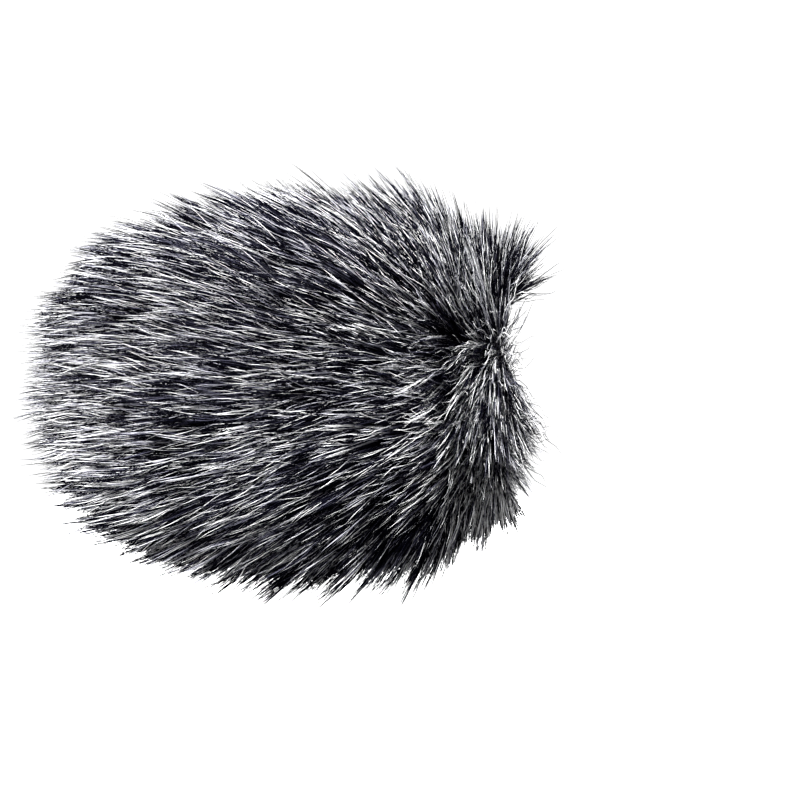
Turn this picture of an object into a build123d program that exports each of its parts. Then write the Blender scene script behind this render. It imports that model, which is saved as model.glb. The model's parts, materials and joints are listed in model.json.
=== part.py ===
from build123d import *
import math
import os

# A furry windscreen that slips over the front of a small microphone. Millimetres.
# The X axis is the microphone's axis. The mouth is in the plane X = 0 and opens
# towards +X, the nose points along -X, and +Z is up. "Left" is -Y, as seen from
# behind the microphone.

# The microphone's space.
MICROPHONE_DIAMETER = 21.0
INSERTION_DEPTH = 48.0

# Cloth, foam and thread.
LINING_THICKNESS = 0.5
FOAM_THICKNESS = 5.9
FOAM_NOSE_THICKNESS = 10.0
KNIT_THICKNESS = 0.8
ALLOWANCE_THICKNESS = 0.7
ALLOWANCE_WIDTH = 4.0
THREAD_DIAMETER = 0.4
STITCH_LENGTH = 2.6
STITCH_GAP = 0.4
LAYER_GAP = 0.1

# The hem at the mouth and the elastic inside it.
HEM_LENGTH = 6.0
HEM_CLOTH = 0.5
HEM_CHANNEL_HEIGHT = 1.95
ELASTIC_WIDTH = 4.0
ELASTIC_THICKNESS = 0.6
ELASTIC_LAP_ANGLE = 40.0
BAR_TACK_STITCHES = 5

# The cover's shape.
NOSE_PANEL_RADIUS = 11.0
NOSE_CORNER_RADIUS = 5.0
FLARE_START = -HEM_LENGTH
FLARE_END = -13.0

# The outline of the combed pile, as (X, radius), from the nose tip to the mouth.
PILE_OUTLINE = [
    (-82.0, 0.0),
    (-77.0, 16.5),
    (-62.0, 30.0),
    (-38.0, 35.8),
    (-14.0, 33.8),
    (0.0, 28.5),
    (7.5, 19.5),
]
PILE_END_TANGENTS = [(0.0, 1.0), (0.4, -1.0)]
PILE_NOSE_SPREAD = 0.42
PILE_GAP = 0.05

# Worked out from the above.
BORE_RADIUS = MICROPHONE_DIAMETER / 2
LINING_RADIUS = BORE_RADIUS + LINING_THICKNESS
FOAM_INNER_RADIUS = LINING_RADIUS + LAYER_GAP
FOAM_OUTER_RADIUS = FOAM_INNER_RADIUS + FOAM_THICKNESS
COVER_RADIUS = FOAM_OUTER_RADIUS + LAYER_GAP + ALLOWANCE_THICKNESS
LINING_END = -INSERTION_DEPTH - THREAD_DIAMETER
FOAM_SPLIT = LINING_END - LINING_THICKNESS - LAYER_GAP
FOAM_NOSE_END = FOAM_SPLIT - FOAM_NOSE_THICKNESS
COVER_NOSE = FOAM_NOSE_END - LAYER_GAP - ALLOWANCE_THICKNESS
HEM_INNER_RADIUS = LINING_RADIUS + LAYER_GAP
CHANNEL_INNER_RADIUS = HEM_INNER_RADIUS + HEM_CLOTH
CHANNEL_OUTER_RADIUS = CHANNEL_INNER_RADIUS + HEM_CHANNEL_HEIGHT
HEM_OUTER_RADIUS = CHANNEL_OUTER_RADIUS + HEM_CLOTH
GATHER_RADIUS = HEM_OUTER_RADIUS + THREAD_DIAMETER
FOAM_OFFSET = -ALLOWANCE_THICKNESS - LAYER_GAP
SEAM_HALF_GAP = THREAD_DIAMETER / 2
FAR = 200.0


def turned(outline):
    """The solid that a closed (X, radius) outline makes when it turns about the X axis."""
    return revolve(make_face(Plane.XZ * outline), axis=Axis.X)


def ring(start, end, inner, outer):
    """A square-edged tube along X, or a disc where inner is 0."""
    corners = [(start, inner), (end, inner), (end, outer), (start, outer)]
    return turned(Polyline(*corners, close=True))


def cover_form(offset):
    """The space inside the cover, grown by offset: a tube with a round nose and a gathered mouth."""
    gather = GATHER_RADIUS + offset
    tube = COVER_RADIUS + offset
    nose = COVER_NOSE - offset
    corner = NOSE_CORNER_RADIUS + offset
    mouth = Line((0, 0), (0, gather))
    neck = Line(mouth @ 1, (FLARE_START, gather))
    flare = Spline(neck @ 1, (FLARE_END, tube), tangents=[(-1, 0), (-1, 0)])
    side = Line(flare @ 1, (nose + corner, tube))
    turn = TangentArc(side @ 1, (nose, tube - corner), tangent=side % 1)
    face = Line(turn @ 1, (nose, 0))
    axis = Line(face @ 1, (0, 0))
    return turned(mouth + neck + flare + side + turn + face + axis)


def slab(start, end, low, high):
    """A tall box from start to end along X and from low to high along Y."""
    middle = ((start + end) / 2, (low + high) / 2, 0)
    return Location(middle) * Box(end - start, high - low, FAR)


def half(solid, side, gap):
    """What lies on the left (-1) or right (+1) of the middle plane, clear of it by gap."""
    low, high = (-FAR, -gap) if side < 0 else (gap, FAR)
    return solid & slab(-FAR, FAR, low, high)


def layer(inner_offset, outer_offset):
    """A shell of the cover's form, as thick as the two offsets lie apart."""
    return cover_form(outer_offset) - cover_form(inner_offset)


def backing_side(side):
    """One side panel's knitted cloth, with its long edges and its nose edge turned in."""
    nose_hole = NOSE_PANEL_RADIUS + SEAM_HALF_GAP
    cloth = half(layer(0, KNIT_THICKNESS), side, SEAM_HALF_GAP)
    inside = half(layer(-ALLOWANCE_THICKNESS, 0), side, SEAM_HALF_GAP)
    reach = sorted((side * SEAM_HALF_GAP, side * (SEAM_HALF_GAP + ALLOWANCE_WIDTH)))
    long_edges = inside & slab(COVER_NOSE + NOSE_CORNER_RADIUS, FLARE_END, *reach)
    nose_edge = inside & ring(COVER_NOSE - 1, COVER_NOSE + 1, nose_hole, nose_hole + ALLOWANCE_WIDTH / 2)
    hole = ring(COVER_NOSE - 2, COVER_NOSE + 2, 0, nose_hole)
    mouth_edge = ring(-HEM_CLOTH, 1, 0, FAR)
    return cloth + long_edges + nose_edge - hole - mouth_edge


def backing_nose():
    """The round nose panel's knitted cloth, with its edge turned in."""
    radius = NOSE_PANEL_RADIUS - SEAM_HALF_GAP
    cloth = ring(COVER_NOSE - KNIT_THICKNESS, COVER_NOSE, 0, radius)
    edge = ring(COVER_NOSE, COVER_NOSE + ALLOWANCE_THICKNESS, radius - ALLOWANCE_WIDTH, radius)
    return cloth + edge


def pile_form():
    """The whole space that the combed hairs fill, from the cloth out to their tips."""
    outer = Spline(*PILE_OUTLINE, tangents=PILE_END_TANGENTS, tangent_scalars=[1, 1])
    fan = Line(outer @ 1, (0, GATHER_RADIUS + KNIT_THICKNESS + PILE_GAP))
    mouth = Line(fan @ 1, (0, 0))
    axis = Line(mouth @ 1, outer @ 0)
    return turned(outer + fan + mouth + axis) - cover_form(KNIT_THICKNESS + PILE_GAP)


def nose_cone(gap):
    """The cone of space in front of the nose panel, grown by gap."""
    base = NOSE_PANEL_RADIUS + gap
    tip = base + PILE_NOSE_SPREAD * (COVER_NOSE + FAR)
    return turned(Polyline((COVER_NOSE, 0), (COVER_NOSE, base), (-FAR, tip), (-FAR, 0), close=True))


def pile_side(side):
    """The hairs of one side panel."""
    return half(pile_form() - nose_cone(PILE_GAP), side, PILE_GAP)


def pile_nose():
    """The hairs of the nose panel."""
    return pile_form() & nose_cone(0)


def foam():
    """The whole foam liner's outer form, without its bore."""
    return cover_form(FOAM_OFFSET) - ring(-HEM_LENGTH - LAYER_GAP, 1, 0, FAR)


def foam_sleeve():
    """Open-cell foam tube round the microphone."""
    return foam() - ring(FOAM_SPLIT, 1, 0, FOAM_INNER_RADIUS) - ring(-FAR, FOAM_SPLIT, 0, FAR)


def foam_nose():
    """Foam disc that closes the sleeve in front of the microphone."""
    return foam() - ring(FOAM_SPLIT, 1, 0, FAR)


def lining_sleeve():
    """Thin mesh tube that the microphone slides in."""
    return ring(-INSERTION_DEPTH, 0, BORE_RADIUS, LINING_RADIUS)


def lining_end():
    """Mesh disc at the bottom of the lining."""
    return ring(LINING_END - LINING_THICKNESS, LINING_END, 0, LINING_RADIUS)


def hem_binding():
    """Tape folded round the mouth into a closed channel."""
    whole = ring(-HEM_LENGTH, 0, HEM_INNER_RADIUS, HEM_OUTER_RADIUS)
    channel = ring(-HEM_LENGTH + HEM_CLOTH, -HEM_CLOTH, CHANNEL_INNER_RADIUS, CHANNEL_OUTER_RADIUS)
    return whole - channel


def elastic_band():
    """Flat elastic in the channel, with one end lapped over the other at the bottom."""
    low = -HEM_LENGTH / 2 - ELASTIC_WIDTH / 2
    high = low + ELASTIC_WIDTH
    inner = CHANNEL_INNER_RADIUS + LAYER_GAP
    band = ring(low, high, inner, inner + ELASTIC_THICKNESS)
    outline = Polyline(
        (low, inner + ELASTIC_THICKNESS),
        (high, inner + ELASTIC_THICKNESS),
        (high, inner + 2 * ELASTIC_THICKNESS),
        (low, inner + 2 * ELASTIC_THICKNESS),
        close=True,
    )
    lap = revolve(make_face(Plane.XZ * outline), axis=Axis.X, revolution_arc=ELASTIC_LAP_ANGLE)
    return band + Rot(180 - ELASTIC_LAP_ANGLE / 2, 0, 0) * lap


def bar_tack():
    """Stitches across the elastic's lapped ends."""
    radius = CHANNEL_INNER_RADIUS + LAYER_GAP + 2 * ELASTIC_THICKNESS + THREAD_DIAMETER / 2
    stitch = Rot(0, 90, 0) * Cylinder(THREAD_DIAMETER / 2, STITCH_LENGTH)
    step = ELASTIC_LAP_ANGLE / (BAR_TACK_STITCHES + 1)
    stitches = []
    for number in range(BAR_TACK_STITCHES):
        angle = 180 + step * (number - (BAR_TACK_STITCHES - 1) / 2)
        stitches.append(Rot(angle, 0, 0) * Location((-HEM_LENGTH / 2, 0, radius)) * stitch)
    return Compound(children=stitches)


def stitch_ring(x, radius):
    """Stitches round the X axis, each a bent length of thread."""
    circumference = 2 * math.pi * radius
    count = round(circumference / (STITCH_LENGTH + STITCH_GAP))
    arc = 360 / count * STITCH_LENGTH / (STITCH_LENGTH + STITCH_GAP)
    section = Plane.XZ * Location((x, radius)) * Circle(THREAD_DIAMETER / 2)
    stitch = revolve(section, axis=Axis.X, revolution_arc=arc)
    return Compound(children=[Rot(360 / count * number, 0, 0) * stitch for number in range(count)])


def long_seam(height):
    """A straight row of stitches between the two side panels."""
    start = COVER_NOSE + NOSE_CORNER_RADIUS
    pitch = STITCH_LENGTH + STITCH_GAP
    stitch = Rot(0, 90, 0) * Cylinder(THREAD_DIAMETER / 2, STITCH_LENGTH)
    stitches = []
    for number in range(int((FLARE_END - start) / pitch)):
        stitches.append(Location((start + pitch * (number + 0.5), 0, height)) * stitch)
    return Compound(children=stitches)


def mouth_stitches():
    """Overcast stitches across the edges of the lining and the binding, on the mouth's face."""
    reach = (BORE_RADIUS + CHANNEL_OUTER_RADIUS) / 2
    stitch = Cylinder(THREAD_DIAMETER / 2, STITCH_LENGTH)
    count = round(2 * math.pi * reach / (STITCH_LENGTH + STITCH_GAP))
    stitches = []
    for number in range(count):
        place = Location((THREAD_DIAMETER / 2, 0, reach))
        stitches.append(Rot(360 / count * number, 0, 0) * place * stitch)
    return Compound(children=stitches)


seam_height = COVER_RADIUS - ALLOWANCE_THICKNESS / 2
pieces = {
    "fur_left": pile_side(-1),
    "fur_right": pile_side(1),
    "fur_nose": pile_nose(),
    "backing_left": backing_side(-1),
    "backing_right": backing_side(1),
    "backing_nose": backing_nose(),
    "top_seam_thread": long_seam(seam_height),
    "bottom_seam_thread": long_seam(-seam_height),
    "nose_seam_thread": stitch_ring(COVER_NOSE + ALLOWANCE_THICKNESS / 2, NOSE_PANEL_RADIUS),
    "foam_sleeve": foam_sleeve(),
    "foam_nose": foam_nose(),
    "lining_sleeve": lining_sleeve(),
    "lining_end": lining_end(),
    "lining_thread": stitch_ring(-INSERTION_DEPTH - THREAD_DIAMETER / 2, BORE_RADIUS + LINING_THICKNESS / 2),
    "hem_binding": hem_binding(),
    "hem_thread": stitch_ring(-HEM_LENGTH / 2, HEM_OUTER_RADIUS + THREAD_DIAMETER / 2),
    "mouth_stitches": mouth_stitches(),
    "elastic_band": elastic_band(),
    "bar_tack": bar_tack(),
}

os.makedirs("parts", exist_ok=True)
for name, piece in pieces.items():
    export_step(piece, f"parts/{name}.step")
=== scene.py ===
import json
import math

import bmesh
import bpy
import numpy as np
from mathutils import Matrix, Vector


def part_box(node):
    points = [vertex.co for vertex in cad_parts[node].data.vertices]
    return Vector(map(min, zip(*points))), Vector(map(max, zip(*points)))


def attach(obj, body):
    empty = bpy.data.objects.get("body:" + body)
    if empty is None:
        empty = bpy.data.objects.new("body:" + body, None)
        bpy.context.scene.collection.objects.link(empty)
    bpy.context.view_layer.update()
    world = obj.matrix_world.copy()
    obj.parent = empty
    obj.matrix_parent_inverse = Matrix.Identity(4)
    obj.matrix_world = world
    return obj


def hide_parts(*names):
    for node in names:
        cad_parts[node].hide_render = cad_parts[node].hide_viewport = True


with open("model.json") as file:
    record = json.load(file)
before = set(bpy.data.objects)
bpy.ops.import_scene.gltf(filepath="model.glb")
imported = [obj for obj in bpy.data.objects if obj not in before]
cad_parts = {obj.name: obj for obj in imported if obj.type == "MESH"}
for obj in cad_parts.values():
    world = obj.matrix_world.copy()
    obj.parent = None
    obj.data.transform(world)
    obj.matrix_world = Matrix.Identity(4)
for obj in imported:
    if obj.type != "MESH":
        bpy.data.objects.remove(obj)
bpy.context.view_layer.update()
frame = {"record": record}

# Lengths in this script are millimetres until a mesh is made. +X runs out of the mouth
# towards the microphone, -X to the nose, +Z is up. Directions round the axis are given
# as an angle phi from +Y towards +Z.
MM = 0.001


def node_box(node):
    """A node's lowest and highest corners, in millimetres."""
    low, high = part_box(node)
    return np.array(low) / MM, np.array(high) / MM


bore = frame["record"]["mounts"][0]["dims"]
BORE_RADIUS = bore["r_mm"]
BORE_LENGTH = bore["length_mm"]
COVER_RADIUS = -node_box("backing_left")[0][1]
COVER_NOSE = node_box("backing_nose")[0][0]
HEM_START = node_box("hem_binding")[0][0]
GATHER_RADIUS = node_box("hem_thread")[1][2] + 0.8
NOSE_PANEL_RADIUS = node_box("backing_nose")[1][1]

# The cloth widens from its gathered neck to its full radius at FLARE_END, and NOSE_CORNER is
# the radius of the bend between its side and its flat nose.
FLARE_END = -13.0
NOSE_CORNER = 5.8

# What the camera looks at, and the width it sees there.
MIDDLE = np.array([-17.3, 0.0, -2.0])
FRAME_WIDTH = 138.4


# ---------------------------------------------------------------- the cover's surface

def cover_profile(samples=60):
    """The cloth's outer line from the mouth's rim to the nose's middle, as (X, radius) points."""
    u = np.linspace(0, 1, samples)
    neck = np.column_stack([HEM_START * u, np.full(samples, GATHER_RADIUS)])
    ease = u * u * (3 - 2 * u)
    flare_x = HEM_START + (FLARE_END - HEM_START) * u
    flare = np.column_stack([flare_x, GATHER_RADIUS + (COVER_RADIUS - GATHER_RADIUS) * ease])
    side_end = COVER_NOSE + NOSE_CORNER
    side = np.column_stack([FLARE_END + (side_end - FLARE_END) * u, np.full(samples, COVER_RADIUS)])
    angle = u * math.pi / 2
    turn_x = side_end - NOSE_CORNER * np.sin(angle)
    turn_r = COVER_RADIUS - NOSE_CORNER * (1 - np.cos(angle))
    turn = np.column_stack([turn_x, turn_r])
    face = np.column_stack([np.full(samples, COVER_NOSE), (COVER_RADIUS - NOSE_CORNER) * (1 - u)])
    return np.vstack([neck, flare[1:], side[1:], turn[1:], face[1:]])


# ARC is the way along the profile from the rim, and AREA the cloth up to there, per radian.
PROFILE = cover_profile()
STEP_LENGTHS = np.linalg.norm(np.diff(PROFILE, axis=0), axis=1)
ARC = np.concatenate([[0], np.cumsum(STEP_LENGTHS)])
MID_RADII = (PROFILE[1:, 1] + PROFILE[:-1, 1]) / 2
AREA = np.concatenate([[0], np.cumsum(STEP_LENGTHS * MID_RADII)])
SLOPE_REACH = 0.4
ROOT_STEPS = (0.7548776662466927, 0.5698402909980532)


def surface(arc, phi):
    """Points on the cover, with their normals and their radial and round-the-axis directions."""
    x = np.interp(arc, ARC, PROFILE[:, 0])
    r = np.interp(arc, ARC, PROFILE[:, 1])
    ahead = np.minimum(arc + SLOPE_REACH, ARC[-1])
    behind = np.maximum(arc - SLOPE_REACH, 0)
    dx = np.interp(ahead, ARC, PROFILE[:, 0]) - np.interp(behind, ARC, PROFILE[:, 0])
    dr = np.interp(ahead, ARC, PROFILE[:, 1]) - np.interp(behind, ARC, PROFILE[:, 1])
    size = np.hypot(dx, dr)
    zero = np.zeros_like(x)
    radial = np.column_stack([zero, np.cos(phi), np.sin(phi)])
    around = np.column_stack([zero, -np.sin(phi), np.cos(phi)])
    along = np.column_stack([np.ones_like(x), zero, zero])
    normal = along * (dr / size)[:, None] + radial * (-dx / size)[:, None]
    points = along * x[:, None] + radial * r[:, None]
    return points, normal, radial, around


def spread_roots(count, start, span):
    """Places on the cover between two arcs, as (arc, phi), spread evenly without lining up."""
    number = np.arange(count) + start
    share = (0.5 + number * ROOT_STEPS[0]) % 1.0
    turn = (0.5 + number * ROOT_STEPS[1]) % 1.0
    low, high = np.interp(span, ARC, AREA)
    return np.interp(low + share * (high - low), AREA, ARC), turn * 2 * math.pi


def waves(points, size, rng, count=10):
    """Smooth noise of about unit strength that changes over the given size in millimetres."""
    directions = rng.normal(size=(count, 3))
    directions /= np.linalg.norm(directions, axis=1)[:, None]
    scales = rng.uniform(0.6, 1.5, count) * 2 * math.pi / size
    phases = rng.uniform(0, 2 * math.pi, count)
    return np.sin(points @ (directions * scales[:, None]).T + phases).sum(1) * math.sqrt(2 / count)


def unit(vectors):
    return vectors / np.maximum(np.linalg.norm(vectors, axis=-1, keepdims=True), 1e-9)


# ---------------------------------------------------------------- how the pile is combed

# The comb tables run along the cloth, in millimetres from the mouth's rim to the nose's middle.
# LEAN is a hair's last direction: 0 lies forward along the body, 90 stands straight out and
# more than 90 leans back over the microphone. START is how far it leans that way at its root.
COMB_ARC = np.array([0.0, 0.8, 1.6, 3.0, 6.0, 10.0, 14.0, 22.0, 32.0, 44.0, 54.0, 60.0, 66.0, 77.5])
LEAN = np.array([132.0, 108.0, 90.0, 78.0, 66.0, 54.0, 44.0, 30.0, 22.0, 12.0, 0.0, -8.0, 3.0, 0.0])
START = np.array([0.85, 0.8, 0.7, 0.6, 0.5, 0.4, 0.34, 0.32, 0.34, 0.40, 0.44, 0.45, 0.5, 0.5])
LENGTH = np.array([14.0, 14.5, 15.0, 16.0, 18.0, 20.5, 22.5,
                   25.0, 25.0, 23.0, 20.0, 18.5, 20.0, 21.5])
WHOLE_COVER = (0.0, COMB_ARC[-1])
RIM = (0.1, 2.2)

# DROOP is how far the tips sag. The gathers lie at PLEATS round the mouth, and part the hairs by
# up to PLEAT_SWAY as far as PLEAT_REACH from the rim. TUCK is in degrees, like LEAN. UPWARD is how
# strongly the sides are brushed up. THIN_BELOW is how much shorter the bulk is under the mouth.
DROOP = 1.6
PLEATS = np.radians([-118.0, -66.0, -8.0, 36.0, 95.0, 153.0])
PLEAT_REACH = 16.0
PLEAT_SWAY = math.radians(62.0)
TUCK = 38.0
UPWARD = 0.15
THIN_BELOW = 0.3


def pleat_sway(arc, phi):
    """How far the gathers at the mouth part the hairs to each side."""
    away = (phi[:, None] - PLEATS[None, :] + math.pi) % (2 * math.pi) - math.pi
    nearest = np.abs(away).argmin(axis=1)
    gap = away[np.arange(len(phi)), nearest]
    fade = np.clip(1 - arc / PLEAT_REACH, 0, 1)
    return PLEAT_SWAY * fade * np.tanh(gap / 0.10) * np.exp(-np.abs(gap) / 0.6)


def tucked(arc, phi):
    """How far the rim's hairs are pressed forward at each cheek of the mouth and under it."""
    cheek = np.exp(-((np.sin(phi) - 0.52) / 0.28) ** 2)
    under = np.clip(-np.sin(phi) - 0.3, 0, 0.5)
    return (TUCK * cheek + 0.6 * TUCK * under) * np.clip(1 - arc / 4.0, 0, 1)


def crest(arc, phi):
    """How much longer the hairs over the mouth are, where they stand up in a fan."""
    return 1 + 0.22 * np.clip(np.sin(phi), 0, 1) * np.clip(1.3 - arc / 13.0, 0, 1)


def thinned(arc, phi):
    """Where the bulk of the pile falls short of its guard hairs: underneath, most at the mouth."""
    return np.clip(-np.sin(phi), 0, 1) * np.interp(arc, [0.0, 14.0], [1.0, 0.55])


def guides(arc, phi, t, rng, spread):
    """One curve for each root, from the cloth to the tip, combed towards the nose."""
    points, normal, radial, around = surface(arc, phi)
    lean = np.interp(arc, COMB_ARC, LEAN) + 4.0 * waves(points, 16, rng) - tucked(arc, phi)
    lean = np.radians(lean + rng.normal(0, spread, len(arc)))
    sway = np.radians(4.0 * waves(points, 18, rng) + rng.normal(0, spread, len(arc)))
    sway = sway + pleat_sway(arc, phi)
    forward = np.array([-1.0, 0.0, 0.0])
    target = forward * np.cos(lean)[:, None] + radial * np.sin(lean)[:, None]
    target[:, 2] += UPWARD * np.cos(phi) ** 2 * np.interp(arc, [2, 12, 52, 64], [0, 1, 1, 0])
    target = unit(target * np.cos(sway)[:, None] + around * np.sin(sway)[:, None])
    start = np.interp(arc, COMB_ARC, START)[:, None]
    first = unit(normal * (1 - start) + target * start)
    length = np.interp(arc, COMB_ARC, LENGTH) * crest(arc, phi)
    uneven = np.interp(arc, [0, 12], [0.15, 0.05]) * rng.normal(0, 1, len(arc))
    length = length * (1 + 0.05 * waves(points, 12, rng) + np.clip(uneven, -0.4, 0.25))
    middle = (t[1:] + t[:-1]) / 2
    bend = (1 - (1 - middle) ** 1.7)[None, :, None]
    heading = unit(first[:, None, :] * (1 - bend) + target[:, None, :] * bend)
    steps = heading * (length[:, None] * np.diff(t)[None, :])[:, :, None]
    root = points[:, None, :]
    curve = np.concatenate([root, root + np.cumsum(steps, axis=1)], axis=1)
    curve[:, :, 2] -= DROOP * t ** 2
    return curve, around


def along_guides(curves, t, which, reach):
    """Points on each guide's curve out to a share of its length, for hairs of their own lengths."""
    wanted = t[None, :] * reach[:, None]
    low = np.clip(np.searchsorted(t, wanted, side="right") - 1, 0, len(t) - 2)
    part = ((wanted - t[low]) / (t[low + 1] - t[low]))[:, :, None]
    rows = which[:, None]
    return curves[rows, low] * (1 - part) + curves[rows, low + 1] * part


def coat(seed, locks, per_lock, t, lock_size, hold, reach, spread, wander, wiggle,
         span=WHOLE_COVER, thin=0.0):
    """Hairs in locks: their curves, side directions and lock numbers.

    A lock's radius is lock_size at its root and closes by the share hold at its tip. Its hairs
    take a share of its length within reach. spread scatters the locks in degrees, and wander and
    wiggle scatter and wave each hair's tip in millimetres.
    """
    rng = np.random.default_rng(seed)
    arc, phi = spread_roots(locks, seed * 1000, span)
    arc = np.clip(arc + rng.normal(0, 0.25, locks), 0.2, ARC[-1] - 0.2)
    phi = phi + rng.normal(0, 0.012, locks)
    curves, around = guides(arc, phi, t, rng, spread)
    which = np.repeat(np.arange(locks), per_lock)
    hairs = len(which)
    shares = rng.uniform(*reach, hairs) * (1 - thin * thinned(arc, phi)[which])
    line = along_guides(curves, t, which, shares)
    across = around[which]
    other = np.cross(unit(curves[:, 1] - curves[:, 0])[which], across)
    turn = rng.uniform(0, 2 * math.pi, hairs)
    out = lock_size * np.sqrt(rng.uniform(0, 1, hairs))
    offset = across * (out * np.cos(turn))[:, None] + other * (out * np.sin(turn))[:, None]
    lock_hold = np.clip(rng.normal(hold, 0.15, locks), 0, 1)[which]
    closing = 1 - lock_hold[:, None] * (t ** 0.8)[None, :]
    line = line + offset[:, None, :] * closing[:, :, None]
    line = line + rng.normal(0, wander, (hairs, 1, 3)) * (t ** 1.6)[None, :, None]
    turns = rng.uniform(1.0, 2.6, (hairs, 1)) * t[None, :] + rng.uniform(0, 1, (hairs, 1))
    crimp = wiggle * (1 + 1.6 * np.clip(1 - arc[which] / 12.0, 0, 1))
    wave = np.sin(2 * math.pi * turns) * crimp[:, None] * t[None, :]
    line = line + across[:, None, :] * wave[:, :, None]
    return line, across, which


def strand_mesh(name, line, across, t, width, tones, bare):
    """One mesh of tapered three-sided hairs. Its UV runs along the hair and holds the hair's tone.

    A hair's UV starts at bare instead of 0, so that a high value leaves out its dark lower shaft,
    which is partly painted shade of the pile's depth.
    """
    hairs, samples = line.shape[:2]
    tangent = unit(np.gradient(line, axis=1))
    side = across[:, None, :] - tangent * (tangent * across[:, None, :]).sum(-1, keepdims=True)
    side = unit(side)
    up = np.cross(tangent, side)
    taper = np.sqrt(np.clip(1 - t ** 4, 0, 1))
    radius = (width / 2)[:, None] * taper[None, :]
    rings = []
    for corner in range(3):
        angle = 2 * math.pi * corner / 3 + math.pi / 2
        way = side * math.cos(angle) + up * math.sin(angle)
        rings.append(line + way * radius[:, :, None])
    body = np.stack(rings, axis=2)[:, :-1].reshape(hairs, -1, 3)
    points = np.concatenate([body, line[:, -1:, :]], axis=1)
    per_hair = points.shape[1]
    quads = []
    for ring in range(samples - 2):
        for corner in range(3):
            a = ring * 3 + corner
            b = ring * 3 + (corner + 1) % 3
            quads.append((a, b, b + 3, a + 3))
    last = (samples - 2) * 3
    tip = per_hair - 1
    triangles = [(last, last + 1, tip), (last + 1, last + 2, tip), (last + 2, last, tip), (2, 1, 0)]
    loops = np.array([v for face in quads + triangles for v in face])
    sizes = np.array([len(face) for face in quads + triangles])
    vertex_t = np.append(np.repeat(t[:-1], 3), 1.0)
    first = np.arange(hairs)[:, None] * per_hair
    mesh = bpy.data.meshes.new(name)
    mesh.vertices.add(hairs * per_hair)
    mesh.vertices.foreach_set("co", (points.reshape(-1) * MM).astype(np.float32))
    mesh.loops.add(hairs * len(loops))
    mesh.loops.foreach_set("vertex_index", (loops[None, :] + first).reshape(-1).astype(np.int32))
    mesh.polygons.add(hairs * len(sizes))
    starts = np.concatenate([[0], np.cumsum(sizes)[:-1]])
    all_starts = starts[None, :] + np.arange(hairs)[:, None] * len(loops)
    mesh.polygons.foreach_set("loop_start", all_starts.reshape(-1).astype(np.int32))
    mesh.update(calc_edges=True)
    mesh.polygons.foreach_set("use_smooth", np.ones(hairs * len(sizes), dtype=bool))
    layer = mesh.uv_layers.new(name="OFBake")
    u = bare[:, None] + (1 - bare[:, None]) * vertex_t[loops][None, :]
    u = u.reshape(-1) * 0.96 + 0.02
    v = np.repeat(tones * 0.96 + 0.02, len(loops))
    layer.data.foreach_set("uv", np.column_stack([u, v]).reshape(-1).astype(np.float32))
    piece = bpy.data.objects.new(name, mesh)
    bpy.context.collection.objects.link(piece)
    return piece


# ---------------------------------------------------------------- materials

def new_material(name):
    material = bpy.data.materials.new(name)
    material.use_nodes = True
    nodes = material.node_tree.nodes
    return material, nodes, material.node_tree.links, nodes["Principled BSDF"]


def ramp_node(nodes, stops):
    ramp = nodes.new("ShaderNodeValToRGB")
    elements = ramp.color_ramp.elements
    while len(elements) < len(stops):
        elements.new(0.5)
    for element, (place, colour) in zip(elements, stops):
        element.position = place
        element.color = (*colour, 1.0)
    return ramp


def fur_material(name, tones, along, roughness):
    """Hair coloured by its own tone, darker towards the root, partly from silver tipping and partly
    as painted shade of the pile's depth.
    """
    material, nodes, links, shader = new_material(name)
    uv = nodes.new("ShaderNodeUVMap")
    uv.uv_map = "OFBake"
    split = nodes.new("ShaderNodeSeparateXYZ")
    links.new(uv.outputs["UV"], split.inputs[0])
    tone = ramp_node(nodes, tones)
    links.new(split.outputs["Y"], tone.inputs["Fac"])
    shade = ramp_node(nodes, along)
    links.new(split.outputs["X"], shade.inputs["Fac"])
    mix = nodes.new("ShaderNodeMix")
    mix.data_type = "RGBA"
    mix.blend_type = "MULTIPLY"
    mix.inputs["Factor"].default_value = 1.0
    links.new(tone.outputs["Color"], mix.inputs["A"])
    links.new(shade.outputs["Color"], mix.inputs["B"])
    links.new(mix.outputs["Result"], shader.inputs["Base Color"])
    shader.inputs["Roughness"].default_value = roughness
    shader.inputs["Specular IOR Level"].default_value = 0.01
    return material


HAIR_TONES = [
    (0.0, (0.0005, 0.0005, 0.001)),
    (0.60, (0.001, 0.001, 0.003)),
    (0.73, (0.008, 0.008, 0.017)),
    (0.80, (0.10, 0.10, 0.14)),
    (0.85, (0.62, 0.62, 0.69)),
    (0.90, (1.0, 1.0, 1.0)),
]
# HAIR_SHADE darkens each hair towards its root: partly the hairs' silver tipping, partly painted
# shade where the pile's depth lies in shadow. The very tip is darker again.
HAIR_SHADE = [
    (0.0, (0.01, 0.01, 0.01)),
    (0.55, (0.05, 0.05, 0.055)),
    (0.76, (0.50, 0.50, 0.52)),
    (0.86, (1.0, 1.0, 1.0)),
    (0.94, (0.95, 0.95, 0.95)),
    (1.0, (0.15, 0.15, 0.16)),
]
UNDER_TONES = [
    (0.0, (0.0005, 0.0005, 0.001)),
    (1.0, (0.004, 0.004, 0.006)),
]
UNDER_SHADE = HAIR_SHADE[2:]

# Painted light: how much paler the hairs are painted towards each end of the body, by the X of
# their roots, and underneath it, where the light falls brighter.
PAINTED_LIGHT_X = np.array([-61.0, -50.0, -38.0, -16.0, -6.0, 0.0])
PAINTED_LIGHT_BY_X = np.array([0.12, 0.10, 0.02, 0.02, 0.15, 0.30])
PAINTED_LIGHT_BELOW = 0.03


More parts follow.
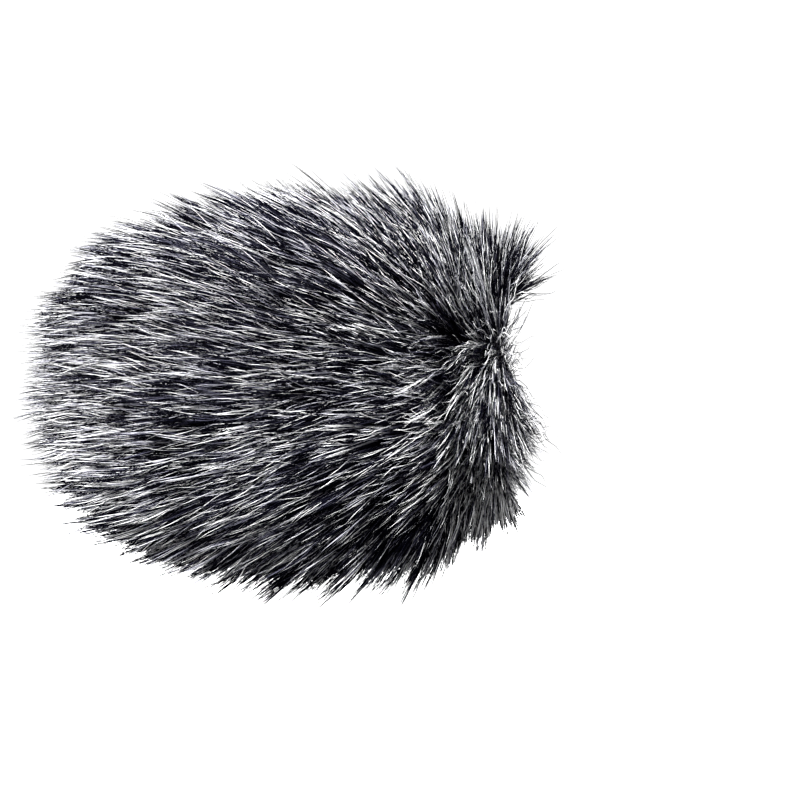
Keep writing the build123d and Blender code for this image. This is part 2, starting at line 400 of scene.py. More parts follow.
def streaky_tones(rng, which, roots, low, high, lock_share):
    """A tone for each hair: its own, drawn towards its lock's and drifting slowly over the body.

    Painted light pales it towards each end of the body and underneath, less so on top.
    """
    own = rng.uniform(low, high, len(which))
    lock = rng.uniform(low, high, which.max() + 1)[which]
    drift = 0.05 * waves(roots, 14, rng)
    # Painted light: the paling fades over the top and grows underneath, and a painted lift
    # brightens the underside.
    height = np.clip(roots[:, 2] / 18, -1, 1)
    fade = 1 - np.where(height > 0, 0.75, -0.45) * height
    painted_light = np.interp(roots[:, 0], PAINTED_LIGHT_X, PAINTED_LIGHT_BY_X) * fade
    lift = PAINTED_LIGHT_BELOW * np.clip(-height, 0, 1)
    return np.clip(own + (lock - own) * lock_share + drift + painted_light + lift, 0, 1)


# ---------------------------------------------------------------- the pile

FULL_COAT = 1.0
FACES_IN_A_PIECE = 190000
SHAFT_STEPS = np.array([0.0, 0.30, 0.58, 0.82, 1.0])
UNDER_STEPS = np.array([0.0, 0.35, 0.7, 1.0])
LOCK_STEPS = np.array([0.0, 0.18, 0.36, 0.54, 0.72, 0.88, 1.0])

hair_material = fur_material("pile_hair", HAIR_TONES, HAIR_SHADE, 0.5)
under_material = fur_material("under_hair", UNDER_TONES, UNDER_SHADE, 0.8)


def bareness(rng, roots):
    """How much of each hair's dark shaft, partly painted shade, is left out: more at the mouth,
    where shafts lie open to the light.
    """
    open_mouth = np.clip(1 + (roots[:, 0] + 4) / 14, 0, 1)
    open_mouth = open_mouth * (1 - 0.5 * np.clip(-roots[:, 2] / 15, 0, 1))
    return rng.uniform(0.0, 0.28, len(roots)) + 0.5 * open_mouth


def lay_pile(kind, material, line, across, t, tones, widths, bare):
    """Splits a coat by panel and along the body, and makes each share a piece."""
    root = line[:, 0]
    radius = np.hypot(root[:, 1], root[:, 2])
    nose = (root[:, 0] < COVER_NOSE + NOSE_CORNER) & (radius < NOSE_PANEL_RADIUS)
    panels = {
        "fur_nose": nose,
        "fur_left": ~nose & (root[:, 1] < 0),
        "fur_right": ~nose & (root[:, 1] >= 0),
    }
    for node, mine in panels.items():
        if not mine.any():
            continue
        order = np.flatnonzero(mine)
        order = order[np.argsort(root[order, 0], kind="stable")]
        faces_each = 6 * len(t) - 8
        shares = max(1, math.ceil(len(order) * faces_each / FACES_IN_A_PIECE))
        for number, share in enumerate(np.array_split(order, shares)):
            name = f"{node}_{kind}_{number + 1}"
            look = (widths[share], tones[share], bare[share])
            piece = strand_mesh(name, line[share], across[share], t, *look)
            piece.data.materials.append(material)
            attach(piece, "root")
            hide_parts(node)


def under_coat():
    """Short black hairs close to the cloth, which fill the depth of the pile."""
    locks = int(9000 * FULL_COAT)
    line, across, which = coat(
        seed=3, locks=locks, per_lock=2, t=UNDER_STEPS, lock_size=0.5, hold=0.1,
        reach=(0.45, 0.7), spread=9.0, wander=0.5, wiggle=0.0)
    rng = np.random.default_rng(4)
    tones = rng.uniform(0, 1, len(which))
    widths = rng.uniform(0.18, 0.28, len(which))
    lay_pile("under", under_material, line, across, UNDER_STEPS, tones, widths, 0 * tones)


def main_coat():
    """The bulk of the hairs, of all lengths, loosely gathered, black with silver tips."""
    locks = int(46000 * FULL_COAT)
    line, across, which = coat(
        seed=11, locks=locks, per_lock=3, t=SHAFT_STEPS, lock_size=0.5, hold=0.3,
        reach=(0.5, 1.0), spread=8.0, wander=0.9, wiggle=0.2, thin=THIN_BELOW)
    rng = np.random.default_rng(12)
    tones = streaky_tones(rng, which, line[:, 0], 0, 1, 0.0)
    widths = rng.uniform(0.08, 0.145, len(which))
    bare = bareness(rng, line[:, 0])
    lay_pile("coat", hair_material, line, across, SHAFT_STEPS, tones, widths, bare)


def rim_coat():
    """The hairs that the gathered hem crowds together round the mouth."""
    locks = int(1500 * FULL_COAT)
    line, across, which = coat(
        seed=41, locks=locks, per_lock=4, t=LOCK_STEPS, lock_size=0.4, hold=0.5,
        reach=(0.45, 1.0), spread=10.0, wander=1.0, wiggle=0.4, span=RIM, thin=THIN_BELOW)
    rng = np.random.default_rng(42)
    tones = streaky_tones(rng, which, line[:, 0], 0, 1, 0.3)
    widths = rng.uniform(0.10, 0.17, len(which))
    bare = bareness(rng, line[:, 0])
    lay_pile("rim", hair_material, line, across, LOCK_STEPS, tones, widths, bare)


def stray_coat():
    """A few pale curly hairs that have worked loose and cross the others."""
    strays = int(700 * FULL_COAT)
    line, across, which = coat(
        seed=51, locks=strays, per_lock=1, t=LOCK_STEPS, lock_size=0.3, hold=0.0,
        reach=(0.6, 0.92), spread=17.0, wander=1.4, wiggle=0.5)
    rng = np.random.default_rng(52)
    tones = rng.uniform(0.80, 1.0, len(which))
    widths = rng.uniform(0.09, 0.14, len(which))
    bare = rng.uniform(0.2, 0.7, len(which))
    lay_pile("stray", hair_material, line, across, LOCK_STEPS, tones, widths, bare)


def guard_coat():
    """The longest hairs, in pointed locks that break up the outline."""
    locks = int(1700 * FULL_COAT)
    line, across, which = coat(
        seed=21, locks=locks, per_lock=12, t=LOCK_STEPS, lock_size=0.7, hold=0.8,
        reach=(0.8, 1.06), spread=6.0, wander=0.4, wiggle=0.1)
    rng = np.random.default_rng(22)
    tones = streaky_tones(rng, which, line[:, 0], 0, 1, 0.2)
    widths = rng.uniform(0.10, 0.17, len(which))
    bare = bareness(rng, line[:, 0])
    lay_pile("guard", hair_material, line, across, LOCK_STEPS, tones, widths, bare)


under_coat()
main_coat()
rim_coat()
guard_coat()
stray_coat()


# ---------------------------------------------------------------- cloth, foam and tape meshes

def grid_piece(name, points, node, material, close_rows=False, close_columns=False):
    """A mesh of quads over a grid of points, with its UV in millimetres along the grid."""
    rows, columns = points.shape[:2]
    down = np.linalg.norm(np.diff(points, axis=0), axis=2).mean(axis=1)
    over = np.linalg.norm(np.diff(points, axis=1), axis=2).mean(axis=0)
    row_place = np.concatenate([[0], np.cumsum(down), [down.sum() + down[-1]]])
    column_place = np.concatenate([[0], np.cumsum(over), [over.sum() + over[-1]]])
    faces = []
    uvs = []
    for i in range(rows if close_rows else rows - 1):
        for j in range(columns if close_columns else columns - 1):
            after_i, after_j = (i + 1) % rows, (j + 1) % columns
            faces.append((i * columns + j, i * columns + after_j,
                          after_i * columns + after_j, after_i * columns + j))
            for a, b in ((i, j), (i, j + 1), (i + 1, j + 1), (i + 1, j)):
                uvs.append((row_place[a], column_place[b]))
    mesh = bpy.data.meshes.new(name)
    mesh.from_pydata((points.reshape(-1, 3) * MM).tolist(), [], faces)
    layer = mesh.uv_layers.new(name="cloth")
    layer.data.foreach_set("uv", np.array(uvs, dtype=np.float32).reshape(-1))
    mesh.polygons.foreach_set("use_smooth", [True] * len(faces))
    mesh.validate()
    return finished(name, mesh, node, material)


def flat_uv(piece):
    """Lays a disc's cloth UV flat across the X axis, so that its yarns run straight over it."""
    layer = piece.data.uv_layers["cloth"]
    for loop in piece.data.loops:
        place = piece.data.vertices[loop.vertex_index].co
        layer.data[loop.index].uv = (place.y / MM, place.z / MM)


def finished(name, mesh, node, material):
    """Makes the mesh's normals agree, gives the piece its body, slot and material, and hides its
    CAD node.
    """
    work = bmesh.new()
    work.from_mesh(mesh)
    bmesh.ops.remove_doubles(work, verts=work.verts, dist=0.002 * MM)
    bmesh.ops.recalc_face_normals(work, faces=work.faces)
    work.to_mesh(mesh)
    work.free()
    mesh.materials.append(material)
    piece = bpy.data.objects.new(name, mesh)
    bpy.context.collection.objects.link(piece)
    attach(piece, "root")
    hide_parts(node)
    return piece


def thickened(middle, thickness, close_columns=False):
    """A closed loop of rows round a sheet's middle: out along one face, back along the other."""
    down = np.gradient(middle, axis=0)
    if close_columns:
        over = np.roll(middle, -1, axis=1) - np.roll(middle, 1, axis=1)
    else:
        over = np.gradient(middle, axis=1)
    half = unit(np.cross(over, down)) * thickness / 2
    return np.concatenate([middle + half, (middle - half)[::-1]])


def turned(section, angles):
    """Points of a line of (X, radius) turned about the X axis, as rows along the line."""
    x = np.repeat(section[:, :1], len(angles), axis=1)
    y = section[:, 1:] * np.cos(angles)[None, :]
    z = section[:, 1:] * np.sin(angles)[None, :]
    return np.stack([x, y, z], axis=2)


def rounded(corners, radius, step):
    """A closed (X, radius) outline, rounded at each corner, with points a step apart."""
    corners = np.array(corners, dtype=float)
    line = []
    for number, corner in enumerate(corners):
        before = unit(corners[number - 1] - corner)
        after = unit(corners[(number + 1) % len(corners)] - corner)
        for share in np.linspace(0, 1, 5):
            into = corner + before * radius * (1 - share) ** 2
            line.append(into + after * radius * share ** 2)
    line = np.array(line + line[:1])
    lengths = np.linalg.norm(np.diff(line, axis=0), axis=1)
    place = np.concatenate([[0], np.cumsum(lengths)])
    wanted = np.linspace(0, place[-1], int(place[-1] / step), endpoint=False)
    return np.column_stack([np.interp(wanted, place, line[:, k]) for k in range(2)])


def turns(count):
    return np.linspace(0, 2 * math.pi, count, endpoint=False)


# ---------------------------------------------------------------- cloth, foam and thread materials

def pattern_height(nodes, links, first, second, mode):
    """Combines two 0-1 patterns with a math node."""
    node = nodes.new("ShaderNodeMath")
    node.operation = mode
    links.new(first, node.inputs[0])
    links.new(second, node.inputs[1])
    return node.outputs["Value"]


def bands(nodes, links, vector, direction, pitch, distortion=0.0):
    """Parallel bands, pitch apart in the vector's own units."""
    wave = nodes.new("ShaderNodeTexWave")
    wave.wave_type = "BANDS"
    wave.bands_direction = direction
    wave.inputs["Scale"].default_value = 2 * math.pi / 20 / pitch
    wave.inputs["Distortion"].default_value = distortion
    wave.inputs["Detail Scale"].default_value = 0.6
    links.new(vector, wave.inputs["Vector"])
    return wave.outputs["Fac"]


def finish_surface(nodes, links, shader, height, stops, roughness, depth):
    """Colour, roughness and bump from one height pattern, with soft mottling over it."""
    place = nodes.new("ShaderNodeTexCoord")
    mottle = nodes.new("ShaderNodeTexNoise")
    mottle.inputs["Scale"].default_value = 260.0
    mottle.inputs["Detail"].default_value = 4.0
    links.new(place.outputs["Object"], mottle.inputs["Vector"])
    ramp = ramp_node(nodes, stops)
    links.new(height, ramp.inputs["Fac"])
    tint = ramp_node(nodes, [(0.3, (0.72, 0.72, 0.72)), (0.7, (1.0, 1.0, 1.0))])
    links.new(mottle.outputs["Fac"], tint.inputs["Fac"])
    mix = nodes.new("ShaderNodeMix")
    mix.data_type = "RGBA"
    mix.blend_type = "MULTIPLY"
    mix.inputs["Factor"].default_value = 1.0
    links.new(ramp.outputs["Color"], mix.inputs["A"])
    links.new(tint.outputs["Color"], mix.inputs["B"])
    links.new(mix.outputs["Result"], shader.inputs["Base Color"])
    worn = nodes.new("ShaderNodeMapRange")
    worn.inputs["To Min"].default_value = roughness[0]
    worn.inputs["To Max"].default_value = roughness[1]
    links.new(height, worn.inputs["Value"])
    links.new(worn.outputs["Result"], shader.inputs["Roughness"])
    bump = nodes.new("ShaderNodeBump")
    bump.inputs["Strength"].default_value = 0.9
    bump.inputs["Distance"].default_value = depth * MM
    links.new(height, bump.inputs["Height"])
    links.new(bump.outputs["Normal"], shader.inputs["Normal"])


def woven_material(name, pitches, mode, stops, roughness, depth, skew=0.0, sheen=0.3):
    """Cloth whose yarns run along the two directions of its UV, turned by skew."""
    material, nodes, links, shader = new_material(name)
    uv = nodes.new("ShaderNodeUVMap")
    uv.uv_map = "cloth"
    turn = nodes.new("ShaderNodeMapping")
    turn.inputs["Rotation"].default_value = (0, 0, skew)
    links.new(uv.outputs["UV"], turn.inputs["Vector"])
    first = bands(nodes, links, turn.outputs["Vector"], "X", pitches[0], 0.4)
    second = bands(nodes, links, turn.outputs["Vector"], "Y", pitches[1], 0.4)
    height = pattern_height(nodes, links, first, second, mode)
    finish_surface(nodes, links, shader, height, stops, roughness, depth)
    shader.inputs["Sheen Weight"].default_value = sheen
    shader.inputs["Sheen Roughness"].default_value = 0.5
    return material


def foam_material():
    """Charcoal open-cell foam: small dark cells between paler struts."""
    material, nodes, links, shader = new_material("open_cell_foam")
    place = nodes.new("ShaderNodeTexCoord")
    cells = nodes.new("ShaderNodeTexVoronoi")
    cells.feature = "DISTANCE_TO_EDGE"
    cells.inputs["Scale"].default_value = 1500.0
    links.new(place.outputs["Object"], cells.inputs["Vector"])
    struts = nodes.new("ShaderNodeMapRange")
    struts.inputs["From Max"].default_value = 0.35
    struts.inputs["To Min"].default_value = 1.0
    struts.inputs["To Max"].default_value = 0.0
    links.new(cells.outputs["Distance"], struts.inputs["Value"])
    stops = [(0.0, (0.006, 0.006, 0.007)), (0.6, (0.022, 0.022, 0.024)),
             (1.0, (0.075, 0.075, 0.08))]
    finish_surface(nodes, links, shader, struts.outputs["Result"], stops, (0.95, 0.8), 0.25)
    return material


def thread_material():
    """Black polyester thread with a slight sheen and fine fibres."""
    material, nodes, links, shader = new_material("sewing_thread")
    place = nodes.new("ShaderNodeTexCoord")
    fibres = nodes.new("ShaderNodeTexNoise")
    fibres.inputs["Scale"].default_value = 9000.0
    fibres.inputs["Detail"].default_value = 2.0
    links.new(place.outputs["Object"], fibres.inputs["Vector"])
    stops = [(0.25, (0.016, 0.016, 0.018)), (0.75, (0.085, 0.085, 0.092))]
    finish_surface(nodes, links, shader, fibres.outputs["Fac"], stops, (0.42, 0.6), 0.03)
    return material


knit_material = woven_material(
    "knit_backing", (0.55, 0.42), "MULTIPLY",
    [(0.0, (0.006, 0.006, 0.007)), (1.0, (0.05, 0.05, 0.056))], (0.95, 0.8), 0.12)
lining_material = woven_material(
    "lining_mesh", (0.8, 0.8), "MULTIPLY",
    [(0.0, (0.085, 0.085, 0.092)), (0.35, (0.07, 0.07, 0.076)), (0.7, (0.006, 0.006, 0.007))],
    (0.45, 0.9), 0.10, skew=math.radians(45))
tape_material = woven_material(
    "binding_tape", (0.40, 0.62), "MULTIPLY",
    [(0.0, (0.006, 0.006, 0.007)), (0.7, (0.05, 0.05, 0.055)), (1.0, (0.08, 0.08, 0.086))],
    (0.95, 0.7), 0.16, sheen=0.12)
elastic_material = woven_material(
    "elastic_braid", (0.5, 0.5), "MULTIPLY",
    [(0.0, (0.012, 0.012, 0.012)), (1.0, (0.09, 0.09, 0.09))], (0.9, 0.6), 0.10,
    skew=math.radians(38))
foam_look = foam_material()
thread_look = thread_material()


# ---------------------------------------------------------------- the backing

# The cloth is KNIT thick in the CAD and drawn a little thinner, so that faces never coincide.
# Its seam allowances turn in to ALLOWANCE_DEPTH below the outer face, round a fold at FOLD_DEPTH.
KNIT = 0.8
KNIT_MADE = 0.6
ALLOWANCE = 4.0
ALLOWANCE_DEPTH = 1.15
FOLD_DEPTH = 0.78
NOSE_HOLE = NOSE_PANEL_RADIUS + 0.4
CLOTH_START = 0.6


def cloth_at(arc, phi, depth):
    """Points on the cloth's middle, depth below its outer face, with gathers at the mouth."""
    points, normal = surface(arc, phi)[:2]
    fade = np.clip(1 - arc / 12.0, 0, 1) ** 1.5
    gathers = 0.11 * (np.cos(26 * phi) + 0.5 * np.cos(17 * phi + 1.0)) * fade
    return points - normal * (depth - gathers)[:, None]


def arc_at_nose_radius(radius):
    return ARC[-1] - radius


def backing_side(node, middle_angle):
    """One side panel's cloth with its long edges and its nose edge turned in, as one sheet."""
    side_rows = np.linspace(CLOTH_START, arc_at_nose_radius(NOSE_HOLE + 0.25), 92)
    row_depth = np.full(len(side_rows), KNIT / 2)
    fold_arcs = [arc_at_nose_radius(NOSE_HOLE + r) for r in (0.12, 0.3, 1.0, 1.9)]
    fold_depths = [0.75, ALLOWANCE_DEPTH, ALLOWANCE_DEPTH, ALLOWANCE_DEPTH]
    arcs = np.concatenate([side_rows, fold_arcs])
    depths = np.concatenate([row_depth, fold_depths])
    x = np.interp(arcs, ARC, PROFILE[:, 0])
    r = np.interp(arcs, ARC, PROFILE[:, 1])
    flat_side = (x < FLARE_END) & (x > COVER_NOSE + NOSE_CORNER) & (depths == KNIT / 2)
    tuck = np.where(flat_side, ALLOWANCE, 0.45)
    inner_depth = np.where(flat_side, ALLOWANCE_DEPTH, depths + 0.05)
    turn_in = [(share * tuck + 0.25, inner_depth) for share in np.linspace(1.0, 0.12, 7)]
    turn_in.append((np.full(len(arcs), 0.32), np.where(flat_side, FOLD_DEPTH, depths + 0.02)))
    columns = []
    for gap, depth in turn_in:
        columns.append(cloth_at(arcs, middle_angle + math.pi / 2 - gap / (r - depth), depth))
    edge = 0.62 / r
    for share in np.linspace(0, 1, 66):
        angle = middle_angle + (math.pi / 2 - edge) * (1 - 2 * share)
        columns.append(cloth_at(arcs, angle, depths))
    for gap, depth in reversed(turn_in):
        columns.append(cloth_at(arcs, middle_angle - math.pi / 2 + gap / (r - depth), depth))
    middle = np.stack(columns, axis=1)
    piece = grid_piece(node + "_cloth", thickened(middle, KNIT_MADE), node,
                       knit_material, close_rows=True)
    cap_ends(piece)


def cap_ends(piece):
    """Closes the open sides of a thickened sheet."""
    work = bmesh.new()
    work.from_mesh(piece.data)
    open_edges = [edge for edge in work.edges if edge.is_boundary]
    if open_edges:
        bmesh.ops.holes_fill(work, edges=open_edges, sides=0)
    bmesh.ops.recalc_face_normals(work, faces=work.faces)
    work.to_mesh(piece.data)
    work.free()


def backing_nose():
    """The round nose panel's cloth with its edge turned in."""
    edge = NOSE_PANEL_RADIUS - 0.35
    fold = edge - 0.25
    out = [(radius, KNIT / 2) for radius in np.linspace(0.3, fold, 24)]
    back = [(radius, ALLOWANCE_DEPTH) for radius in np.linspace(fold, edge - ALLOWANCE + 0.3, 9)]
    line = out + [(edge, FOLD_DEPTH)] + back
    section = np.array([(COVER_NOSE + depth, radius) for radius, depth in line])
    middle = turned(section, turns(72))
    piece = grid_piece("backing_nose_cloth", thickened(middle, KNIT_MADE, True), "backing_nose",
                       knit_material, close_rows=True, close_columns=True)
    flat_uv(piece)


backing_side("backing_left", math.pi)
backing_side("backing_right", 0.0)
backing_nose()


# ---------------------------------------------------------------- the foam

FOAM_RADIUS = node_box("foam_sleeve")[1][1]
FOAM_BORE = BORE_RADIUS + 0.6
FOAM_START = node_box("foam_sleeve")[1][0]
FOAM_SPLIT = node_box("foam_nose")[1][0]
FOAM_FRONT = node_box("foam_nose")[0][0]
FOAM_NECK = GATHER_RADIUS - 1.6
SHOULDER = 2.6
CORNER_OUT, CORNER_IN = 4.4, 1.4

# How far the drawn foam lies inside its CAD form, so that its rough surface stays within it.
SKIN = 0.14


def foam_piece(name, node, corners, closed_middle):
    """A turned foam form with soft edges and a surface roughened by its cells."""
    section = rounded(corners, 0.9, 0.75)
    section[:, 1] = np.maximum(section[:, 1], 0.02 if closed_middle else 0.0)
    points = turned(section, turns(132))
    flat = points.reshape(-1, 3)
    rng = np.random.default_rng(61)
    rough = 0.05 * waves(flat, 2.2, rng, 24) + 0.03 * waves(flat, 1.2, rng, 24)
    middle = np.array([(FOAM_SPLIT + FOAM_FRONT) / 2 if closed_middle else 0.0, 0.0, 0.0])
    if closed_middle:
        way = unit(flat - middle)
    else:
        ring_radius = (FOAM_RADIUS + FOAM_BORE) / 2
        angle = np.arctan2(flat[:, 2], flat[:, 1])
        core = np.column_stack([np.clip(flat[:, 0], FOAM_SPLIT + 3, FOAM_START - 3),
                                ring_radius * np.cos(angle), ring_radius * np.sin(angle)])
        way = unit(flat - core)
    points = (flat + way * np.clip(rough, -0.12, 0.08)[:, None]).reshape(points.shape)
    piece = grid_piece(name, points, node, foam_look, close_rows=True, close_columns=True)


foam_piece("foam_sleeve_cells", "foam_sleeve", [
    (FOAM_START - SKIN, FOAM_BORE + SKIN),
    (FOAM_START - SKIN, FOAM_NECK - SKIN),
    (FOAM_START - SHOULDER, FOAM_NECK + 0.55 - SKIN),
    (FLARE_END + SHOULDER, FOAM_RADIUS - 0.7),
    (FLARE_END, FOAM_RADIUS - SKIN),
    (FOAM_SPLIT + SKIN, FOAM_RADIUS - SKIN),
    (FOAM_SPLIT + SKIN, FOAM_BORE + SKIN),
], False)
foam_piece("foam_nose_cells", "foam_nose", [
    (FOAM_SPLIT - SKIN, 0.0),
    (FOAM_SPLIT - SKIN, FOAM_RADIUS - SKIN),
    (FOAM_FRONT + CORNER_OUT, FOAM_RADIUS - SKIN),
    (FOAM_FRONT + CORNER_IN, FOAM_RADIUS - CORNER_IN),
    (FOAM_FRONT + SKIN, FOAM_RADIUS - CORNER_OUT),
    (FOAM_FRONT + SKIN, 0.0),
], True)


# ---------------------------------------------------------------- the lining

LINING = 0.34


def lining_sleeve():
    """The slippery mesh tube, faintly wrinkled along its length."""
    x = np.linspace(-0.35, -BORE_LENGTH + 0.1, 90)
    angles = turns(150)
    middle = turned(np.column_stack([x, np.full(len(x), BORE_RADIUS + 0.26)]), angles)
    flat = middle.reshape(-1, 3)
    rng = np.random.default_rng(71)
    ripple = 0.03 * waves(flat * np.array([0.25, 1, 1]), 5.0, rng, 16)
    radial = unit(flat * np.array([0, 1, 1]))
    middle = (flat + radial * np.clip(ripple, -0.06, 0.06)[:, None]).reshape(middle.shape)
    piece = grid_piece("lining_sleeve_mesh", thickened(middle, LINING, True), "lining_sleeve",
                       lining_material, close_rows=True, close_columns=True)


def lining_end():
    """The mesh disc that closes the lining."""
    low, high = node_box("lining_end")
    radius = high[1] - 0.12
    x = (low[0] + high[0]) / 2
    section = np.column_stack([np.full(30, x), np.linspace(0.15, radius, 30)])
    middle = turned(section, turns(96))
    flat = middle.reshape(-1, 3)
    ripple = 0.02 * waves(flat, 4.0, np.random.default_rng(72), 16)
    lift = np.array([1.0, 0, 0]) * np.clip(ripple, -0.05, 0.05)[:, None]
    middle = (flat + lift).reshape(middle.shape)
    piece = grid_piece("lining_end_mesh", thickened(middle, LINING, True), "lining_end",
                       lining_material, close_rows=True, close_columns=True)
    flat_uv(piece)


lining_sleeve()
lining_end()


# ---------------------------------------------------------------- the hem and its elastic

TAPE = 0.42


def hem_binding():
    """Ribbed tape folded into a soft channel, gathered by the elastic into small puckers."""
    low, high = node_box("hem_binding")
    inner = BORE_RADIUS + 0.6
    inset = 0.16 + TAPE / 2
    outline = rounded([
        (low[0] + inset, inner + inset),
        (low[0] + inset, high[1] - inset),
        (high[0] - inset, high[1] - inset),
        (high[0] - inset, inner + inset),
    ], 0.85, 0.28)
    angles = turns(300)
    centre = np.array([(low[0] + high[0]) / 2, (inner + high[1]) / 2])
    away = outline - centre
    face = np.clip(np.abs(away) / np.abs(away).max(axis=0), 0, 1)
    pucker = 0.06 * np.cos(38 * angles) + 0.05 * np.cos(29 * angles + 1.3) - 0.03
    sink = pucker[None, :] * (0.4 + 0.6 * face[:, 0])[:, None]
    out = away / np.linalg.norm(away, axis=1)[:, None]
    section_x = outline[:, :1] + out[:, :1] * sink
    section_r = outline[:, 1:] + out[:, 1:] * sink
    middle = np.stack([section_x, section_r * np.cos(angles)[None, :],
                       section_r * np.sin(angles)[None, :]], axis=2)
    down = np.roll(middle, -1, axis=0) - np.roll(middle, 1, axis=0)
    over = np.roll(middle, -1, axis=1) - np.roll(middle, 1, axis=1)
    half = unit(np.cross(over, down)) * TAPE / 2
    shells = []
    for name, points in (("hem_binding_tape", middle + half),
                         ("hem_binding_inside", middle - half)):
        shells.append(grid_piece(name, points, "hem_binding", tape_material,
                                 close_rows=True, close_columns=True))
    piece, inside = shells
    join_shells(piece, inside)


def join_shells(outer, inner):
    """Puts the inner shell's faces, turned round, into the outer shell's mesh."""
    work = bmesh.new()
    work.from_mesh(inner.data)
    bmesh.ops.reverse_faces(work, faces=work.faces)
    work.to_mesh(inner.data)
    work.clear()
    work.from_mesh(outer.data)
    work.from_mesh(inner.data)
    work.to_mesh(outer.data)
    work.free()
    bpy.data.objects.remove(inner, do_unlink=True)


def elastic_band():
    """Flat braided elastic with five ribs, its ends lapped at the bottom."""
    low, high = node_box("elastic_band")
    inner = BORE_RADIUS + 1.2
    thickness = 0.52
    lap = math.radians(40)
    angles = np.linspace(-math.pi / 2 - lap / 2, 1.5 * math.pi + lap / 2, 280)
    rise = np.clip((angles - angles[-1] + lap + 0.25) / 0.25, 0, 1)
    rise = rise * rise * (3 - 2 * rise)
    radius = inner + 0.3 + rise * 0.6
    across = np.linspace(0, 1, 31)
    x = low[0] + 0.06 + (high[0] - low[0] - 0.12) * across
    rib = 0.04 * np.abs(np.sin(5 * math.pi * across))
    side = thickness / 2 - 0.04 + rib
    side[0], side[-1] = 0.08, 0.08
    rows = []
    for face in (1, -1):
        r = radius[None, :] + face * side[:, None]
        grid = np.stack([np.repeat(x[:, None], len(angles), axis=1),
                         r * np.cos(angles)[None, :], r * np.sin(angles)[None, :]], axis=2)
        rows.append(grid if face > 0 else grid[::-1])
    piece = grid_piece("elastic_band_braid", np.concatenate(rows), "elastic_band",
                       elastic_material, close_rows=True)
    cap_ends(piece)


hem_binding()
elastic_band()


# ---------------------------------------------------------------- stitches

THREAD_RADIUS = 0.18
PLY_TURN = 1.1


def stitch_ends(node):
    """The two ends of each stitch of a CAD node, in millimetres."""
    source = bpy.data.objects[node]
    work = bmesh.new()
    work.from_mesh(source.data)
    work.transform(source.matrix_world)
    left = set(work.verts)
    ends = []
    while left:
        island = {left.pop()}
        edge_of_island = list(island)
        while edge_of_island:
            vertex = edge_of_island.pop()
            for edge in vertex.link_edges:
                other = edge.other_vert(vertex)
                if other not in island:
                    island.add(other)
                    edge_of_island.append(other)
        left -= island
        points = np.array([vertex.co[:] for vertex in island]) / MM
        centre = (points.max(axis=0) + points.min(axis=0)) / 2
        spread = points - points.mean(axis=0)
        axis = np.linalg.svd(spread, full_matrices=False)[2][0]
        along = spread @ axis
        first = points[along < along.min() + 0.15].mean(axis=0)
        last = points[along > along.max() - 0.15].mean(axis=0)
        ends.append((first, last, centre))
    work.free()
    ends.sort(key=lambda pair: tuple(np.round(pair[2], 3)))
    return ends


def stitches(node):
    """Twisted three-ply thread where each of a CAD node's stitches is."""
    samples, around = 20, 12
    share = np.linspace(0, 1, samples)
    grip = np.sqrt(np.clip(1 - np.abs(2 * share - 1) ** 6, 0.02, 1))
    angle = turns(around)
    vertices = []
    faces = []
    for first, last, _ in stitch_ends(node):
        line = first[None, :] * (1 - share[:, None]) + last[None, :] * share[:, None]
        wanted = np.hypot(first[1], first[2]) * (1 - share) + np.hypot(last[1], last[2]) * share
        found = np.maximum(np.hypot(line[:, 1], line[:, 2]), 1e-6)
        line[:, 1:] *= (wanted / found)[:, None]
        along = unit(np.gradient(line, axis=0))
        outward = unit(line * np.array([0.0, 1.0, 1.0]) + np.array([1e-4, 0, 0]))
        outward = np.where(np.abs((outward * along).sum(1))[:, None] > 0.9, [[1.0, 0, 0]], outward)
        side = unit(np.cross(along, outward))
        up = np.cross(side, along)
        length = np.linalg.norm(last - first)
        base = len(vertices)
        for number in range(samples):
            twist = 2 * math.pi * share[number] * length / PLY_TURN
            radius = THREAD_RADIUS * grip[number] * (0.9 + 0.1 * np.cos(3 * (angle - twist)))
            ring = (line[number] + side[number] * (radius * np.cos(angle))[:, None]
                    + up[number] * (radius * np.sin(angle))[:, None])
            vertices.extend(ring * MM)
        for number in range(samples - 1):
            for corner in range(around):
                a = base + number * around + corner
                b = base + number * around + (corner + 1) % around
                faces.append((a, b, b + around, a + around))
        faces.append(tuple(base + corner for corner in range(around))[::-1])
        faces.append(tuple(base + (samples - 1) * around + corner for corner in range(around)))
    mesh = bpy.data.meshes.new(node + "_ply")
    mesh.from_pydata([tuple(v) for v in vertices], [], faces)
    mesh.polygons.foreach_set("use_smooth", [True] * len(faces))
    finished(node + "_ply", mesh, node, thread_look)


for thread_node in ("top_seam_thread", "bottom_seam_thread", "nose_seam_thread", "lining_thread",
                    "hem_thread", "mouth_stitches", "bar_tack"):
    stitches(thread_node)


# ---------------------------------------------------------------- stage, light and camera

FLOOR = -41.0


def stage_material(name, colour, roughness=0.9):
    material, *_, shader = new_material(name)
    shader.inputs["Base Color"].default_value = (*colour, 1)
    shader.inputs["Roughness"].default_value = roughness
    shader.inputs["Specular IOR Level"].default_value = 0.0
    shader.inputs["Emission Color"].default_value = (1, 1, 1, 1)
    shader.inputs["Emission Strength"].default_value = 0.4
    return material


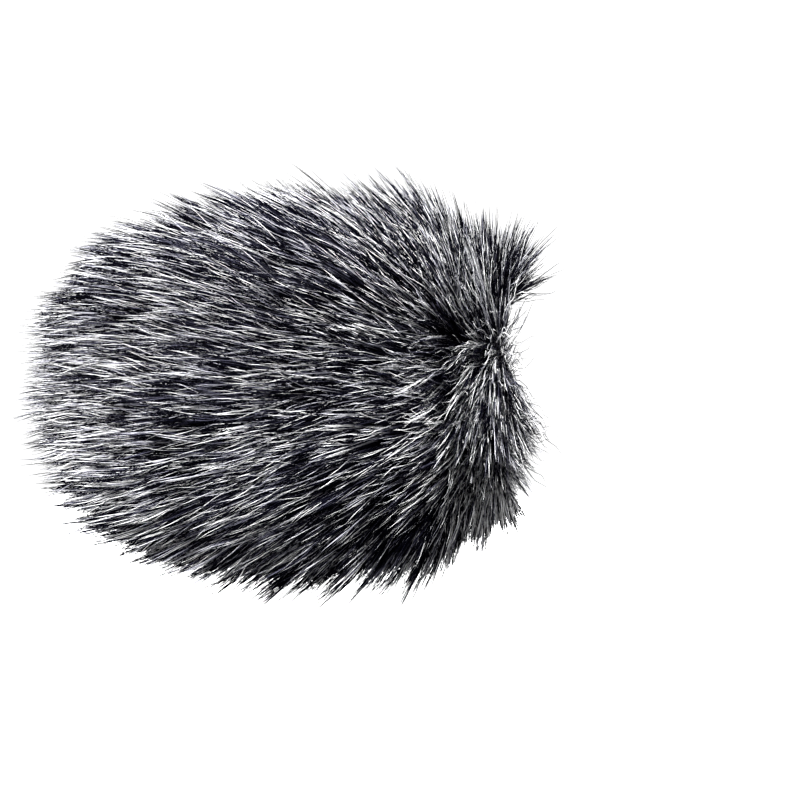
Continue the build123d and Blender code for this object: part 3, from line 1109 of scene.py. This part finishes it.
def backdrop():
    """A pale floor that curves up into a back wall on every side, like a round studio cove."""
    inner, cove, wall = 900.0, 500.0, 1600.0
    outline = [(0.0, FLOOR), (inner * 0.5, FLOOR), (inner, FLOOR)]
    for step in range(1, 13):
        angle = math.pi / 2 * step / 12
        outline.append((inner + cove * math.sin(angle), FLOOR + cove * (1 - math.cos(angle))))
    outline.append((inner + cove, FLOOR + wall))
    segments = 96
    points = []
    for distance, height in outline:
        for number in range(segments):
            angle = 2 * math.pi * number / segments
            x, y = distance * math.cos(angle), distance * math.sin(angle)
            points.append((x * MM, y * MM, height * MM))
    faces = []
    for row in range(len(outline) - 1):
        for number in range(segments):
            after = (number + 1) % segments
            a, b = row * segments + number, row * segments + after
            faces.append((a, b, b + segments, a + segments))
    mesh = bpy.data.meshes.new("backdrop")
    mesh.from_pydata(points, [], faces)
    mesh.polygons.foreach_set("use_smooth", [True] * len(faces))
    stage = bpy.data.objects.new("backdrop", mesh)
    bpy.context.collection.objects.link(stage)
    mesh.materials.append(stage_material("backdrop", (0.9, 0.9, 0.9)))
    stage.visible_diffuse = False
    stage.visible_glossy = False


def area_light(name, place, aim, size, power):
    data = bpy.data.lights.new(name, "AREA")
    data.shape = "DISK"
    data.size = size * MM
    data.energy = power
    light = bpy.data.objects.new(name, data)
    bpy.context.collection.objects.link(light)
    light.location = Vector(place) * MM
    light.rotation_mode = "QUATERNION"
    light.rotation_quaternion = (Vector(aim) - Vector(place)).to_track_quat("-Z", "Y")


BODY = (-35, 0, 0)

backdrop()
area_light("key", (-290, -380, 300), BODY, 160, 14.0)
area_light("fill", (160, -400, -230), BODY, 200, 17.5)
area_light("back", (40, 430, 240), BODY, 240, 11.0)

scene = bpy.context.scene
world = bpy.data.worlds.new("studio")
world.use_nodes = True
world.node_tree.nodes["Background"].inputs["Color"].default_value = (1, 1, 1, 1)
world.node_tree.nodes["Background"].inputs["Strength"].default_value = 0.65
scene.world = world
scene.view_settings.view_transform = "Standard"

camera_data = bpy.data.cameras.new("camera")
camera_data.lens = 100.0
camera_data.sensor_width = 36.0
camera = bpy.data.objects.new("camera", camera_data)
bpy.context.collection.objects.link(camera)
distance = FRAME_WIDTH * camera_data.lens / camera_data.sensor_width
camera.location = Vector((MIDDLE[0], -distance, MIDDLE[2])) * MM
camera.rotation_euler = (math.pi / 2, 0, 0)
camera_data.clip_start = 0.01
camera_data.clip_end = 10.0
scene.camera = camera
